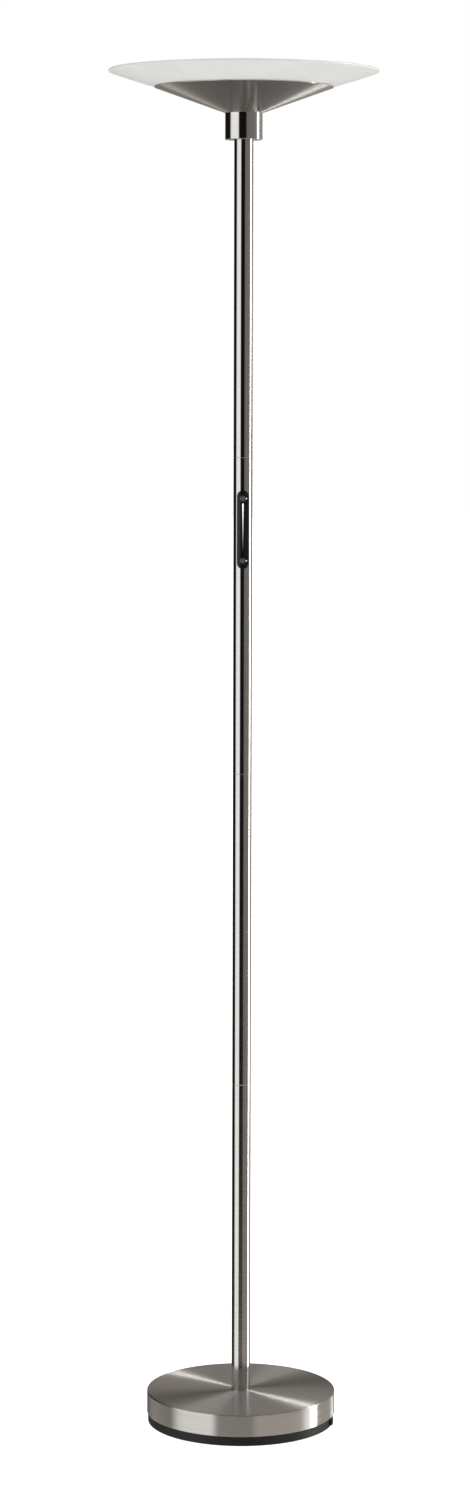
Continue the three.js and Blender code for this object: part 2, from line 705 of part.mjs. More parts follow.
// From the driver, under the base nut and up the pole to the lower plug on the touch board.
function lowerLeadGeometry() {
  const driverFace = driverY + DRIVER_WIDTH / 2 + RADIAL_FIT;
  const under = panFloor + LEAD_RADIUS + 1;
  const plugFace = lensCentre - plugOffset - PLUG_SIZE / 2 - RADIAL_FIT;
  const room = basePipeBottom - under; // height left for the turn up into the pipe
  return lead([
    [0, driverFace, under], [0, 0, under], [0, 0, plugFace - 4 * LEAD_BEND],
    [0, plugY, plugFace - 2 * LEAD_BEND], [0, plugY, plugFace],
  ], Math.min(LEAD_BEND, room));
}

// From the upper plug on the touch board to the plug on the LED board.
function upperLeadGeometry() {
  const plugFace = lensCentre + plugOffset + PLUG_SIZE / 2 + RADIAL_FIT;
  const over = headNutBottom + NUT_HEIGHT + PIPE_TAIL + LEAD_RADIUS + 2;
  const ledPlugFace = ledTop + PLUG_SIZE * 0.6 + RADIAL_FIT;
  return lead([
    [0, plugY, plugFace], [0, plugY, plugFace + 2 * LEAD_BEND],
    [0, 0, plugFace + 4 * LEAD_BEND], [0, 0, over], [ledPlugRadius, 0, over],
    [ledPlugRadius, 0, ledPlugFace],
  ]);
}

// ---- The scene graph ----

function piece(group, name, geometry, material) {
  const mesh = new THREE.Mesh(geometry, material);
  mesh.name = name;
  group.add(mesh);
}

function baseGroup() {
  const group = new THREE.Group();
  piece(group, "base_cover", coverGeometry(), brushedNickel);
  piece(group, "base_weight", weightGeometry(), castIron);
  piece(group, "base_pan", panGeometry(), blackPlastic);
  angles(PAD_COUNT, -Math.PI / 2).forEach((a, i) => {
    const place = onCircle(panRadius - 2 * PAD_RADIUS, a);
    piece(group, `foot_pad_${i + 1}`, padGeometry(place), rubber);
  });
  bossPlaces().forEach((place, i) =>
    piece(group, `pan_screw_${i + 1}`, panScrewGeometry(place), zincSteel));
  piece(group, "cord_inlet_bushing", inletGeometry(), blackPlastic);
  piece(group, "led_driver", driverGeometry(), whitePlastic);
  driverScrewPlaces().forEach((place, i) =>
    piece(group, `driver_screw_${i + 1}`, driverScrewGeometry(place), zincSteel));
  piece(group, "base_pipe", lampPipe(basePipeBottom, BASE_HEIGHT + BUSH_LENGTH),
    zincSteel);
  piece(group, "base_washer", ring(WASHER_RADIUS, pipeHole, weightBottom - WASHER_HEIGHT,
    weightBottom, SMALL_SIDES * 2), zincSteel);
  piece(group, "base_lock_washer", lockWasherGeometry(weightBottom - WASHER_HEIGHT
    - LOCK_HEIGHT), zincSteel);
  piece(group, "base_nut", hexNut(baseNutBottom), zincSteel);
  return group;
}

function poleGroup() {
  const group = new THREE.Group();
  for (let i = 0; i < TUBE_COUNT; i++)
    piece(group, `pole_tube_${i + 1}`, tubeGeometry(i), brushedNickel);
  piece(group, "pole_foot_bush", pipeBushGeometry(BASE_HEIGHT), zincSteel);
  for (let i = 0; i < TUBE_COUNT - 1; i++) {
    piece(group, `joint_nipple_${i + 1}`, nippleGeometry(i), zincSteel);
    piece(group, `joint_bush_${i + 1}`, jointBushGeometry(i), zincSteel);
  }
  piece(group, "pole_top_bush", pipeBushGeometry(poleTop - BUSH_LENGTH), zincSteel);
  return group;
}

function dimmerGroup() {
  const group = new THREE.Group();
  piece(group, "touch_lens", lensGeometry(), glossBlack);
  piece(group, "touch_carrier", carrierGeometry(), blackPlastic);
  piece(group, "touch_board", touchBoardGeometry(), circuitBoard);
  piece(group, "indicator_upper", indicatorGeometry(indicatorPlaces[0]), indicatorLens);
  piece(group, "indicator_lower", indicatorGeometry(indicatorPlaces[1]), indicatorLens);
  piece(group, "touch_plug_upper", plugGeometry(1), whitePlastic);
  piece(group, "touch_plug_lower", plugGeometry(-1), whitePlastic);
  return group;
}

function headGroup() {
  const group = new THREE.Group();
  const spacerBottom = collarTop + CONE_SHEET;
  const pipeTop = headNutBottom + NUT_HEIGHT + PIPE_TAIL;
  piece(group, "neck_collar", collarGeometry(), brushedNickel);
  piece(group, "head_cone", coneGeometry(), brushedNickel);
  piece(group, "head_pipe", lampPipe(poleTop - BUSH_LENGTH, pipeTop), zincSteel);
  piece(group, "head_spacer", ring(SPACER_RADIUS, pipeHole, spacerBottom, plateBottom,
    SMALL_SIDES * 2), zincSteel);
  piece(group, "heat_plate", plateGeometry(), aluminium);
  piece(group, "head_washer", ring(WASHER_RADIUS - 1, pipeHole, plateTop, headNutBottom,
    SMALL_SIDES * 2), zincSteel);
  piece(group, "head_nut", hexNut(headNutBottom), zincSteel);
  piece(group, "led_board", ledBoardGeometry(), whiteBoard);
  ledScrewPlaces().forEach((place, i) =>
    piece(group, `led_screw_${i + 1}`, ledScrewGeometry(place), zincSteel));
  piece(group, "led_plug", ledPlugGeometry(), whitePlastic);
  piece(group, "led_diffuser", diffuserGeometry(), opal);
  piece(group, "dish_gasket", ring(PLATE_RADIUS - RADIAL_FIT, PLATE_RADIUS - RADIAL_FIT
    - GASKET_WIDTH, plateTop, dishBottom, LARGE_SIDES), rubber);
  piece(group, "opal_dish", dishGeometry(), opal);
  return group;
}

function leadGroup() {
  const group = new THREE.Group();
  piece(group, "lower_lead", lowerLeadGeometry(), leadSheath);
  piece(group, "upper_lead", upperLeadGeometry(), leadSheath);
  return group;
}

const lamp = new THREE.Group();
lamp.name = "torchiere_floor_lamp";
lamp.add(baseGroup(), poleGroup(), dimmerGroup(), headGroup(), leadGroup());
export default lamp;
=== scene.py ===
# %% [markdown]
# # A torchiere floor lamp
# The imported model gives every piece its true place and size. This lesson dresses it: each
# round piece that shows is made again as a fine turned surface, the pieces inside keep
# their own meshes, and every finish is built from nodes. Lengths are in metres, +Z is up,
# the pole is the Z axis, and the touch dimmer faces -Y.

# %% Load the frame
import json
import math

import bmesh
import bpy
import numpy as np
from mathutils import Matrix, Vector


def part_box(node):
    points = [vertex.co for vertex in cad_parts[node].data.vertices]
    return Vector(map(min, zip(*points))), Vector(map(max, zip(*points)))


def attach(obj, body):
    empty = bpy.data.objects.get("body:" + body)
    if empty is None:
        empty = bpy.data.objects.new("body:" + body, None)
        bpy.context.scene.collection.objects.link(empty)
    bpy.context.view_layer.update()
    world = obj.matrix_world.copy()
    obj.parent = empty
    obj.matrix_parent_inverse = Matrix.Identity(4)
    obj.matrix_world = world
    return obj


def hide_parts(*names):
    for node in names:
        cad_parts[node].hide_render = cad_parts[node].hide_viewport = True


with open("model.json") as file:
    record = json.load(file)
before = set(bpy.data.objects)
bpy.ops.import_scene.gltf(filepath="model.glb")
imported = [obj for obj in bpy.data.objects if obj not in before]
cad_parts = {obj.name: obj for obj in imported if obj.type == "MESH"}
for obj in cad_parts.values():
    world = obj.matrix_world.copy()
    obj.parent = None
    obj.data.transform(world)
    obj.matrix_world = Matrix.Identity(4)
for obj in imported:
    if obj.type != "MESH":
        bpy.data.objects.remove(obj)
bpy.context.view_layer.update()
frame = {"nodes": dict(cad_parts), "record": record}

MM = 0.001

# %% [markdown]
# ## Sizes read from the frame
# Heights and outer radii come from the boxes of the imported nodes, so the two models can't
# drift apart. Only what no box shows, such as a wall or a bore, is given here as a number.
# A turned piece's radius is half its box's width, which is true for an even number of
# sides with a corner on the X axis.

# %% Heights and radii
def low(node):
    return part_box(node)[0].z


def high(node):
    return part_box(node)[1].z


def radius(node):
    lowest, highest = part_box(node)
    return (highest.x - lowest.x) / 2


def middle_of(node):
    lowest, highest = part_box(node)
    return (lowest + highest) / 2


BASE_TOP = high("base_cover")
SKIRT_BOTTOM = low("base_cover")
COVER_RADIUS = radius("base_cover")
SHEET = 1.0 * MM
TUBE_RADIUS = radius("pole_tube_1")
TUBE_WALL = 1.0 * MM
PIPE_HOLE = 5.3 * MM  # the radius of the hole that a threaded pipe passes through
LENS_LOW, LENS_HIGH = low("touch_lens"), high("touch_lens")
LENS_WIDTH = 2 * radius("touch_lens")
LENS_FACE = -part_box("touch_lens")[0].y
COLLAR_RADIUS = radius("neck_collar")
CONE_RADIUS = radius("head_cone")
DISH_RADIUS = radius("opal_dish")
print("base", COVER_RADIUS, "pole", TUBE_RADIUS, "cone", CONE_RADIUS, "dish", DISH_RADIUS)

# %% [markdown]
# ## Camera
# One long lens, well back from the lamp and at chest height, tipped down a little, so that
# the base is seen from above and the dish from just below.

# %% Camera
CAMERA_AT = (-9.7 * MM, -4.761, 1.4124)
CAMERA_TIP = math.radians(90 - 6.02)
CAMERA_ROLL = math.radians(0.13)
SENSOR_WIDTH, FOCAL_LENGTH = 36, 86.66
camera = bpy.data.objects.new("camera", bpy.data.cameras.new("camera"))
bpy.context.scene.collection.objects.link(camera)
camera.data.sensor_width = SENSOR_WIDTH
camera.data.lens = FOCAL_LENGTH
camera.matrix_world = (Matrix.Translation(CAMERA_AT) @ Matrix.Rotation(CAMERA_TIP, 4, "X")
                       @ Matrix.Rotation(CAMERA_ROLL, 4, "Z"))
bpy.context.scene.camera = camera
print("lens", round(camera.data.lens, 1), "mm")

# %% [markdown]
# ## How a surface becomes a mesh
# A lamp is spun, turned and drawn, so nearly all of it is a profile carried round an axis.
# A profile is a loop of (radius, height) points. Its corners are given with a rounding
# radius, because a real pressed or turned edge always catches a thin line of light.

# %% Mesh from a grid
def mesh_from_grid(name, grid, wrap_rows, wrap_columns, thickness=0.0):
    """Rows and columns of points become four-sided faces between neighbours. A wrapped
    direction joins its last row or column to its first. Points that coincide are merged,
    which closes poles. An open sheet may be given a thickness, which closes it."""
    rows, columns = grid.shape[:2]
    i = np.arange(rows if wrap_rows else rows - 1)[:, None]
    j = np.arange(columns if wrap_columns else columns - 1)[None, :]
    below, right = (i + 1) % rows, (j + 1) % columns
    corners = [i * columns + j, below * columns + j, below * columns + right,
               i * columns + right]
    faces = np.stack(corners, axis=-1).reshape(-1, 4)
    mesh = bpy.data.meshes.new(name)
    mesh.from_pydata(grid.reshape(-1, 3), [], faces)
    work = bmesh.new()
    work.from_mesh(mesh)
    bmesh.ops.remove_doubles(work, verts=work.verts, dist=1e-7)
    if thickness:
        bmesh.ops.solidify(work, geom=work.faces[:], thickness=thickness)
    bmesh.ops.recalc_face_normals(work, faces=work.faces)
    work.to_mesh(mesh)
    work.free()
    return mesh


def finish_mesh(mesh, crease):
    """Smooth shading, broken where two faces meet at more than the crease angle."""
    mesh.polygons.foreach_set("use_smooth", np.ones(len(mesh.polygons), bool))
    mesh.set_sharp_from_angle(angle=math.radians(crease))


def add_piece(name, mesh, nodes, material, crease=40, body="stand"):
    """Shades a mesh, gives it its material and puts it in the scene: it rides on a body
    and stands for its nodes. Printed marks stand for no node."""
    finish_mesh(mesh, crease)
    mesh.materials.append(material)
    piece = bpy.data.objects.new(name, mesh)
    bpy.context.scene.collection.objects.link(piece)
    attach(piece, body)
    if nodes:
        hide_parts(*nodes)
    print(name, len(mesh.polygons), "faces")
    return piece


# %% Profiles and turning
SUPPORT = 1.2 * MM  # the longest step from a rounding to its support point


def rounded(corners, steps=5):
    """Corners are (radius, height, rounding). Each corner P, with unit vectors a and b
    towards its neighbours, becomes the curve (1-s)^2 (P+ta) + 2s(1-s) P + s^2 (P+tb),
    where t is the rounding divided by the tangent of half the corner's angle. A support
    point beside each end of the curve keeps the straight between two corners shaded as
    straight, because its normals no longer lean with the rounding."""
    data = np.array(corners, float)
    point, size = data[:, :2], data[:, 2:3]
    back = np.roll(point, 1, axis=0) - point
    on = np.roll(point, -1, axis=0) - point
    back_length = np.linalg.norm(back, axis=1, keepdims=True)
    on_length = np.linalg.norm(on, axis=1, keepdims=True)
    back, on = back / back_length, on / on_length
    half = np.arccos(np.clip((back * on).sum(1, keepdims=True), -1, 1)) / 2
    reach = np.minimum(size / np.tan(half), 0.499 * np.minimum(back_length, on_length))
    s = np.linspace(0, 1, steps)[None, :, None]
    start, end = (point + reach * back)[:, None], (point + reach * on)[:, None]
    curve = (1 - s) ** 2 * start + 2 * s * (1 - s) * point[:, None] + s ** 2 * end

    def support(length):
        room = 0.9 * (length / 2 - reach)
        return np.where(size > 0, np.minimum(SUPPORT, room), 0)

    before = start + (support(back_length) * back)[:, None]
    after = end + (support(on_length) * on)[:, None]
    return np.concatenate([before, curve, after], axis=1).reshape(-1, 2)


def turn(name, profile, sides=256, closed=True):
    """A profile carried round the Z axis: (r, z) becomes (r cos a, r sin a, z)."""
    profile = np.asarray(profile, float)
    angle = np.linspace(0, 2 * np.pi, sides, endpoint=False)[:, None]
    r, z = profile[None, :, 0], profile[None, :, 1]
    grid = np.stack([r * np.cos(angle), r * np.sin(angle), z + 0 * angle], axis=-1)
    return mesh_from_grid(name, grid, True, closed)


def on_axis(mesh, axis, place):
    """Turns a mesh made round Z so that its axis points along another direction, and
    moves its origin to a place."""
    turned = Vector(axis).to_track_quat("Z", "Y").to_matrix().to_4x4()
    mesh.transform(Matrix.Translation(place) @ turned)
    return mesh


def carve(mesh, cutters, added=()):
    """The mesh with the added volumes joined on and the cutters' volumes taken away."""
    body = bpy.data.objects.new("carving", mesh)
    bpy.context.scene.collection.objects.link(body)
    tools = []
    steps = [("UNION", m) for m in added] + [("DIFFERENCE", m) for m in cutters]
    for operation, volume in steps:
        tool = bpy.data.objects.new("carving_tool", volume)
        bpy.context.scene.collection.objects.link(tool)
        step = body.modifiers.new("carve", "BOOLEAN")
        step.operation, step.solver, step.object = operation, "EXACT", tool
        tools.append(tool)
    bpy.context.view_layer.update()
    result = body.evaluated_get(bpy.context.evaluated_depsgraph_get())
    carved = bpy.data.meshes.new_from_object(result)
    carved.name = mesh.name
    for spare in [body, *tools]:
        bpy.data.objects.remove(spare)
    return carved


# %% [markdown]
# ## Finishes
# A finish is one Principled shader with its fixed values on its own sockets, and a few
# nodes for what varies: grain, roughness and a fine bump. All patterns read Object
# coordinates, so they stay on the metal when a piece is lifted.

# %% Node helpers
def node_maker(tree):
    """A function that adds a node to a tree, sets it up and returns its outputs."""

    def node(kind, inputs=(), **settings):
        made = tree.nodes.new("ShaderNode" + kind)
        for key, value in settings.items():
            setattr(made, key, value)
        for socket, value in dict(inputs).items():
            if isinstance(value, bpy.types.NodeSocket):
                tree.links.new(value, made.inputs[socket])
            else:
                made.inputs[socket].default_value = value
        return made.outputs

    return node


def finish(name, **sockets):
    """A new material: returns it with a function that adds a node to it, and one that
    links a value into its shader."""
    material = bpy.data.materials.new(name)
    material.use_nodes = True
    tree = material.node_tree
    shader = tree.nodes["Principled BSDF"]
    for socket, value in sockets.items():
        shader.inputs[socket.replace("_", " ")].default_value = value

    def into(socket, value):
        tree.links.new(value, shader.inputs[socket])

    return material, node_maker(tree), into


def math_on(node, operation, a, b=0.0):
    return node("Math", {0: a, 1: b}, operation=operation)[0]


def between(node, value, lowest, highest, lowest_in=0.0, highest_in=1.0):
    """Carries a value from one range to another."""
    return node("MapRange", {"Value": value, "From Min": lowest_in, "From Max": highest_in,
                             "To Min": lowest, "To Max": highest})[0]


def tint(node, factor, dark, light):
    """A colour that goes from dark to light with the factor."""
    mix = node("Mix", {0: factor, 6: (*dark, 1), 7: (*light, 1)}, data_type="RGBA")
    return mix[2]


def noise(node, vector, scale, detail=3.0, roughness=0.5):
    return node("TexNoise", {"Vector": vector, "Scale": scale, "Detail": detail,
                             "Roughness": roughness})[0]


def bumped(node, into, height, depth, strength):
    into("Normal", node("Bump", {"Height": height, "Distance": depth,
                                 "Strength": strength})["Normal"])


# %% [markdown]
# ### Turned nickel
# Base cover, tubes, collar and cone are all brushed round the lamp's axis with a fine
# belt, then plated. The grooves are circles, so a highlight is drawn out across them: up
# and down a tube, and in a bow tie over the base. The shader's anisotropy does that, and
# the grain comes from noise that changes fast with radius and height and slowly round
# the axis.

# %% Turned nickel
def groove_place(node):
    """Radius, height, and a direction round the axis with no seam in it."""
    place = node("SeparateXYZ", {0: node("TexCoord")["Object"]})
    x, y, z = place[0], place[1], place[2]
    squares = math_on(node, "ADD", math_on(node, "MULTIPLY", x, x),
                      math_on(node, "MULTIPLY", y, y))
    r = math_on(node, "MAXIMUM", math_on(node, "SQRT", squares), 0.0001)
    return r, z, math_on(node, "DIVIDE", x, r), math_on(node, "DIVIDE", y, r)


def grooves(node, pitch, along):
    """Noise whose cells are pitch wide across the grooves and long round the axis."""
    r, z, cosine, sine = groove_place(node)
    across = math_on(node, "DIVIDE", math_on(node, "ADD", r, z), pitch)
    vector = node("CombineXYZ", {0: across, 1: math_on(node, "MULTIPLY", cosine, along),
                                 2: math_on(node, "MULTIPLY", sine, along)})[0]
    return noise(node, vector, 1.0, 4.0, 0.6)


def turned_metal(name, dark, light, rough, anisotropy, skirt_rough=None, fine=0.35 * MM,
                 coarse=2.6 * MM):
    """The skirt of the base is belted finer than its top: below the rounded edge it has
    a roughness of its own."""
    material, node, into = finish(name, Metallic=1.0, Anisotropic=anisotropy,
                                  Anisotropic_Rotation=0.25)
    into("Tangent", node("Tangent", direction_type="RADIAL", axis="Z")[0])
    fine_lines = grooves(node, fine, 0.7)
    wide_lines = grooves(node, coarse, 0.5)
    cloud = noise(node, node("TexCoord")["Object"], 9.0, 2.0)
    lines = math_on(node, "ADD", math_on(node, "MULTIPLY", fine_lines, 0.6),
                    math_on(node, "MULTIPLY", wide_lines, 0.4))
    into("Base Color", tint(node, between(node, lines, 0, 1, 0.35, 0.65), dark, light))
    grain = math_on(node, "ADD", math_on(node, "MULTIPLY", lines, 0.7),
                    math_on(node, "MULTIPLY", cloud, 0.3))
    middle = rough
    if skirt_rough:
        height = node("SeparateXYZ", {0: node("TexCoord")["Object"]})[2]
        middle = between(node, height, skirt_rough, rough, BASE_TOP - 1.6 * MM, BASE_TOP)
    into("Roughness", math_on(node, "MULTIPLY", middle,
                              between(node, grain, 0.88, 1.12, 0.3, 0.7)))
    bumped(node, into, fine_lines, 0.001 * MM, 0.4)
    return material


pole_nickel = turned_metal("pole_nickel", (0.60, 0.59, 0.575), (0.68, 0.67, 0.655),
                           0.11, 0.50)
base_nickel = turned_metal("base_nickel", (0.60, 0.58, 0.56), (0.70, 0.68, 0.66),
                           0.44, 1.0, skirt_rough=0.24)
cone_nickel = turned_metal("cone_nickel", (0.56, 0.54, 0.52), (0.66, 0.64, 0.62),
                           0.24, 1.0)
print("turned metals made")

# %% [markdown]
# ### Plastics, rubber and opal
# The pan is moulded with a fine spark grain. The dimmer's lens is polished black acrylic,
# with faint wiping marks in its roughness. The dish is cast opal acrylic: it scatters
# light in its thickness, so its shader has a little subsurface, a satin skin and a
# barely visible cloudiness.

# %% Plastics, rubber and opal
def moulded(name, dark, light, rough, grain=0.5 * MM, depth=0.03 * MM, **sockets):
    material, node, into = finish(name, **sockets)
    place = node("TexCoord")["Object"]
    cells = noise(node, place, 1 / grain, 3.0, 0.55)
    cloud = noise(node, place, 22.0, 3.0)
    into("Base Color", tint(node, between(node, cloud, 0, 1, 0.35, 0.65), dark, light))
    into("Roughness", between(node, cells, rough - 0.08, rough + 0.08, 0.3, 0.7))
    bumped(node, into, cells, depth, 0.5)
    return material


pan_black = moulded("pan_black", (0.006, 0.006, 0.0065), (0.011, 0.011, 0.0115), 0.55)
pad_rubber = moulded("pad_rubber", (0.014, 0.014, 0.014), (0.028, 0.028, 0.027), 0.80,
                     grain=0.9 * MM, depth=0.08 * MM)
lens_black = moulded("lens_black", (0.006, 0.006, 0.007), (0.009, 0.009, 0.010), 0.20,
                     grain=6 * MM, depth=0.001 * MM, Specular_IOR_Level=0.30)
opal_satin = moulded("opal_satin", (0.86, 0.88, 0.855), (0.90, 0.92, 0.895), 0.34,
                     grain=3 * MM, depth=0.004 * MM, Subsurface_Weight=0.12,
                     Subsurface_Scale=0.004)
opal_diffuser = moulded("opal_diffuser", (0.88, 0.88, 0.86), (0.92, 0.92, 0.90), 0.45,
                        grain=0.6 * MM, depth=0.02 * MM, Subsurface_Weight=0.10,
                        Subsurface_Scale=0.003)
white_moulding = moulded("white_moulding", (0.80, 0.80, 0.78), (0.86, 0.86, 0.84), 0.45)
lead_sheath = moulded("lead_sheath", (0.020, 0.020, 0.020), (0.035, 0.034, 0.033), 0.55)
indicator_milk = moulded("indicator_milk", (0.85, 0.88, 0.90), (0.92, 0.95, 0.97), 0.25,
                         Emission_Color=(0.9, 0.95, 1.0, 1.0), Emission_Strength=0.6)
print("plastics made")

# %% [markdown]
# ### Metals inside the lamp
# They only show from below, from above or when the dish is lifted, but each still has
# its own surface: sand-cast iron, spangled zinc, and turned aluminium.

# %% Inner metals and boards
def cast_metal():
    material, node, into = finish("cast_iron", Metallic=0.7)
    place = node("TexCoord")["Object"]
    sand = noise(node, place, 900.0, 6.0, 0.7)
    patch = noise(node, place, 40.0, 3.0)
    into("Base Color", tint(node, patch, (0.045, 0.043, 0.042), (0.10, 0.095, 0.09)))
    into("Roughness", between(node, sand, 0.6, 0.9))
    bumped(node, into, sand, 0.25 * MM, 0.7)
    return material


def zinc_plate():
    material, node, into = finish("zinc_plate", Metallic=1.0)
    place = node("TexCoord")["Object"]
    spangle = node("TexVoronoi", {"Vector": place, "Scale": 420.0})["Distance"]
    cloud = noise(node, place, 120.0, 4.0)
    into("Base Color", tint(node, cloud, (0.50, 0.51, 0.53), (0.72, 0.72, 0.72)))
    into("Roughness", between(node, spangle, 0.28, 0.46, 0.0, 0.6))
    bumped(node, into, cloud, 0.02 * MM, 0.5)
    return material


def circuit(name, mask, trace):
    """Solder mask with copper under it: the edges of rounded cells stand for traces."""
    material, node, into = finish(name)
    place = node("TexCoord")["Object"]
    cells = node("TexVoronoi", {"Vector": place, "Scale": 260.0}, feature="DISTANCE_TO_EDGE",
                 distance="EUCLIDEAN")["Distance"]
    copper = between(node, cells, 1.0, 0.0, 0.03, 0.07)
    into("Base Color", tint(node, copper, mask, trace))
    into("Roughness", between(node, copper, 0.30, 0.42))
    bumped(node, into, copper, 0.03 * MM, 0.6)
    return material


cast_iron = cast_metal()
zinc = zinc_plate()
plate_aluminium = turned_metal("plate_aluminium", (0.66, 0.665, 0.67), (0.76, 0.765, 0.77),
                               0.34, 0.5)
green_board = circuit("green_board", (0.006, 0.075, 0.028), (0.012, 0.13, 0.05))
white_board = circuit("white_board", (0.82, 0.82, 0.80), (0.72, 0.72, 0.70))
print("inner finishes made")

# %% [markdown]
# ### Printed symbols
# The dimmer's marks are white ink on the lens. The long mark is a wedge that fades out
# downwards, so its ink reads its own height. That ink also carries a painted glow: it
# emits light of its own, though it is only print.

# %% Ink
WEDGE_TOP = LENS_HIGH - 16.8 * MM
WEDGE_BOTTOM = LENS_LOW + 22.6 * MM
WEDGE_HALF, WEDGE_TIP = 1.0 * MM, 0.2 * MM


def ink(name, fades, light, glow):
    # A glow above nought makes the ink emit light, which is a painted glow on print.
    material, node, into = finish(name, Emission_Strength=glow)
    place = node("TexCoord")["Object"]
    height = node("SeparateXYZ", {0: place})[2]
    dots = noise(node, place, 5200.0, 2.0)
    cover = between(node, dots, 0.85, 1.0, 0.3, 0.7)
    if fades:
        cover = math_on(node, "MULTIPLY", cover,
                        between(node, height, 0.0, 1.0, WEDGE_BOTTOM, WEDGE_TOP))
    into("Base Color", tint(node, cover, (0.010, 0.010, 0.011), (light, light, light)))
    into("Roughness", between(node, dots, 0.32, 0.45))
    # The emission follows the ink's cover, so the painted glow fades out with the wedge.
    into("Emission Color", tint(node, cover, (0, 0, 0), (0.92, 0.95, 1.0)))
    return material


white_ink = ink("white_ink", False, 0.50, 0.0)
# The wedge's ink gets a painted glow of strength 0.8.
glowing_fading_ink = ink("glowing_fading_ink", True, 0.87, 0.8)
print("inks made")

# %% [markdown]
# ## Base
# The cover is one pressed sheet with a small rounded edge. Under it shows a moulded pan,
# set in a little, on rubber pads. The cover's profile goes up its outside and back down
# its inside, so it has the real sheet's thickness and a folded lower edge.

# %% Base cover
cover_profile = rounded([
    (PIPE_HOLE, BASE_TOP, 0.0),
    (PIPE_HOLE, BASE_TOP - SHEET, 0.0),
    (COVER_RADIUS - SHEET, BASE_TOP - SHEET, 0.5 * MM),
    (COVER_RADIUS - SHEET, SKIRT_BOTTOM, 0.3 * MM),
    (COVER_RADIUS, SKIRT_BOTTOM, 0.45 * MM),
    (COVER_RADIUS, BASE_TOP, 1.5 * MM),
], steps=7)
cover_mesh = turn("base_cover_turned", cover_profile, 320)
add_piece("base_cover_turned", cover_mesh, ["base_cover"], base_nickel,
          crease=50)

# %% Base pan
PAN_WALL = 2.5 * MM
BRIM_OVERLAP = 7 * MM
BOSS_RADIUS, HEAD_POCKET, SHANK_BORE = 6 * MM, 4.3 * MM, 2.3 * MM
BOSS_FOOT, POCKET_DEPTH = 0.5 * MM, 2.7 * MM
CUT_PAST = 1 * MM  # how far a cutter reaches past the face that it opens
pan_radius, pan_low, pan_high = radius("base_pan"), low("base_pan"), high("base_pan")
pan_brim = SKIRT_BOTTOM + BRIM_OVERLAP
tray = turn("base_pan_moulded", rounded([
    (0, pan_low, 0), (pan_radius, pan_low, 1.0 * MM), (pan_radius, pan_brim, 0.4 * MM),
    (pan_radius - PAN_WALL, pan_brim, 0.4 * MM),
    (pan_radius - PAN_WALL, pan_low + PAN_WALL, 1.0 * MM), (0, pan_low + PAN_WALL, 0),
]), 256, closed=False)


def rod(thick, bottom, top, place, axis=(0, 0, 1)):
    """A plain rod as a profile carried round Z, then turned along an axis and moved."""
    profile = [(0, bottom), (thick, bottom), (thick, top), (0, top)]
    return on_axis(turn("rod", profile, 48, closed=False), axis, place)


INLET_TURN = math.radians(-16)
INLET_AXIS = Vector((math.cos(INLET_TURN), math.sin(INLET_TURN), 0))
INLET_BORE, INLET_REACH = 3.95 * MM, 5 * MM
inlet_foot = INLET_AXIS * pan_radius + Vector((0, 0, middle_of("cord_inlet_bushing").z))
bosses, bores = [], []
for n in (1, 2, 3):
    spot = middle_of(f"pan_screw_{n}")
    spot.z = 0
    bosses.append(rod(BOSS_RADIUS, pan_low + BOSS_FOOT, pan_high, spot))
    bores.append(rod(HEAD_POCKET, pan_low - CUT_PAST, pan_low + POCKET_DEPTH, spot))
    bores.append(rod(SHANK_BORE, pan_low, pan_high + CUT_PAST, spot))
bores.append(rod(INLET_BORE, -INLET_REACH, INLET_REACH, inlet_foot, INLET_AXIS))
tray = carve(tray, bores, bosses)
add_piece("base_pan_moulded", tray, ["base_pan"], pan_black)

# %% Pads and cord inlet
for n in range(1, 6):
    node_name = f"foot_pad_{n}"
    spot, size, top = middle_of(node_name), radius(node_name), high(node_name)
    pad = turn(node_name + "_moulded", rounded([
        (0, 0, 0), (size, 0, 0.5 * MM), (size, top, 0.2 * MM), (0, top, 0),
    ]), 64, closed=False)
    on_axis(pad, (0, 0, 1), (spot.x, spot.y, 0))
    add_piece(node_name + "_moulded", pad, [node_name], pad_rubber)

CORD_HOLE, BARREL, FLANGE = 2.7 * MM, 3.8 * MM, 4.7 * MM
BARREL_END, FLANGE_BACK, FLANGE_FACE = -8 * MM, 0.25 * MM, 2.85 * MM
bushing = turn("cord_inlet_moulded", rounded([
    (CORD_HOLE, BARREL_END, 0.3 * MM), (BARREL, BARREL_END, 0.3 * MM),
    (BARREL, FLANGE_BACK, 0.0), (FLANGE, FLANGE_BACK, 0.2 * MM),
    (FLANGE, FLANGE_FACE, 0.8 * MM), (CORD_HOLE, FLANGE_FACE, 0.5 * MM),
]), 64)
on_axis(bushing, INLET_AXIS, inlet_foot)
add_piece("cord_inlet_moulded", bushing, ["cord_inlet_bushing"], pan_black)

# %% [markdown]
# ## Pole
# Four equal tubes screw together end to end. Each end has a small rounding, so two tubes
# meet in a hairline groove. The third has a window for the dimmer: a tube is made first,
# then a capsule-shaped volume is taken out of its front.

# %% A capsule carried round its outline
def capsule(name, across, face, length, width, flat=False):
    """A capsule is every point nearer than half the width to a straight middle line. Each
    column is a distance m from that line and a radius R: the outline angle a gives
    x = m cos a and z = m sin a, moved up or down by half the line, and y is -R on a flat
    piece or the front of a cylinder of radius R, minus the root of R^2 - x^2."""
    angle = (np.arange(128)[:, None] + 0.5) * 2 * np.pi / 128
    m, r = np.array(across)[None, :], np.array(face)[None, :]
    x = m * np.cos(angle)
    z = m * np.sin(angle) + np.sign(np.sin(angle)) * (length - width) / 2
    y = -r + 0 * x if flat else -np.sqrt(r ** 2 - x ** 2)
    return mesh_from_grid(name, np.stack([x, y, z + lens_middle], axis=-1), True, False)


lens_middle = (LENS_LOW + LENS_HIGH) / 2
lens_length = LENS_HIGH - LENS_LOW
INLAY_GAP = 0.15 * MM
WINDOW_START, WINDOW_END = 4 * MM, 20 * MM  # distances in front of the pole's axis

